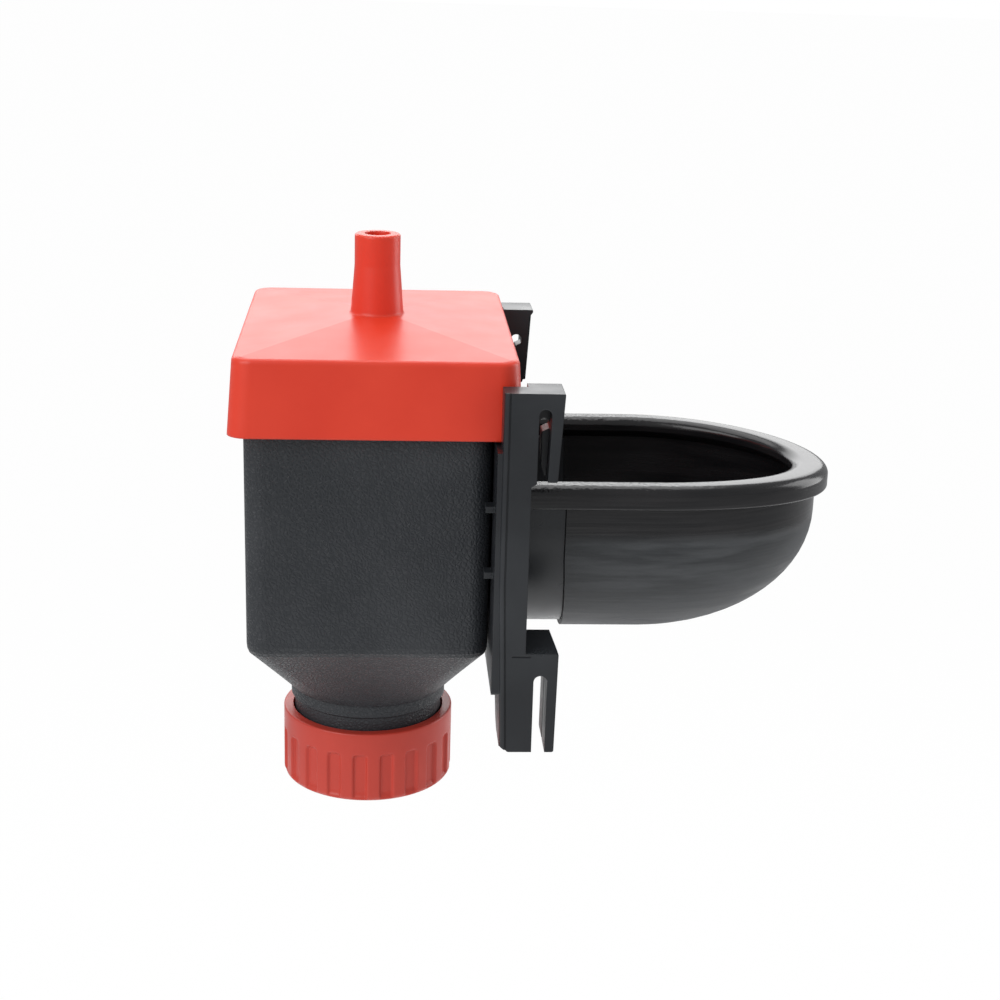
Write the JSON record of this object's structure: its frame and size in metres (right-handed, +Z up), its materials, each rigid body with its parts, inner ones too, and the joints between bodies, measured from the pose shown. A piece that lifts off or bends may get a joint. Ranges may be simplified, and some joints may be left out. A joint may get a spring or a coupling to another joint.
{
  "type": "poultry float cup drinker",
  "caption": "Cage-hung water cup for poultry: float-valve tank with red lid and hose spigot, red drain cap, hooked bracket and open trough bowl.",
  "frame": {"origin": "hanging point: midway between the two upper hook slots, at the top of the slots", "axes": "+X out of the tank towards the birds along the bowl, +Z up along the inlet spigot, +Y across, to the left when looking along +X"},
  "size_m": [0.1586, 0.1128, 0.151],
  "materials": {
    "lid": "moulded red plastic, low gloss",
    "inlet_strainer": "natural moulded plastic",
    "valve_body": "natural moulded plastic",
    "valve_body_ring": "moulded rubber",
    "valve_jet": "turned brass",
    "valve_screws": "stainless steel",
    "valve_pad": "moulded rubber",
    "float_lever": "natural moulded plastic",
    "lever_pin": "drawn stainless steel",
    "pin_clip": "stamped stainless steel",
    "float_stem": "threaded brass",
    "float_nuts": "machined brass",
    "float": "foamed plastic",
    "tank": "black plastic with a fine leather grain",
    "bracket": "black plastic, satin",
    "bracket_screws": "stainless steel",
    "port_seal": "moulded rubber",
    "bowl": "black plastic, semi-gloss, lightly scuffed",
    "bowl_seal": "moulded rubber",
    "drain_cap": "moulded red plastic, low gloss",
    "cap_gasket": "moulded rubber"
  },
  "bodies": {
    "tank_body": {"tank": "tank", "bracket": "bracket", "port_seal": "port_seal", "bracket_screws": "bracket_screws", "bowl_seal": "bowl_seal"},
    "lid_body": {"lid": "lid", "inlet_strainer": "inlet_strainer", "valve_body": "valve_body", "valve_body_ring": "valve_body_ring", "valve_jet": "valve_jet", "valve_screws": "valve_screws", "lever_pin": "lever_pin", "pin_clip": "pin_clip"},
    "float_arm": {"float_lever": "float_lever", "valve_pad": "valve_pad", "float_stem": "float_stem", "float_nuts": "float_nuts", "float": "float"},
    "bowl_body": {"bowl": "bowl"},
    "gasket_body": {"cap_gasket": "cap_gasket"},
    "cap_body": {"drain_cap": "drain_cap"}
  },
  "joints": [
    {"name": "lid_lift", "type": "slide", "parent": "tank_body", "child": "lid_body", "axis": [0, 0, 1], "range_m": [0, 0.09]},
    {"name": "float_swing", "type": "hinge", "parent": "lid_body", "child": "float_arm", "pos_m": [-0.04025, -0.009, -0.0046], "axis": [1, 0, 0], "range_deg": [-13, 0]},
    {"name": "bowl_pull", "type": "slide", "parent": "tank_body", "child": "bowl_body", "axis": [1, 0, 0], "range_m": [0, 0.03]},
    {"name": "cap_travel", "type": "slide", "parent": "tank_body", "child": "gasket_body", "axis": [0, 0, -1], "range_m": [0, 0.0175]},
    {"name": "cap_turn", "type": "hinge", "parent": "gasket_body", "child": "cap_body", "pos_m": [-0.04175, 0, -0.1048], "axis": [0, 0, -1], "range_deg": [0, 1080]}
  ],
  "couplings": [
    {"joint": "cap_travel", "follows": "cap_turn", "m_per_rad": 0.00079577}
  ]
}
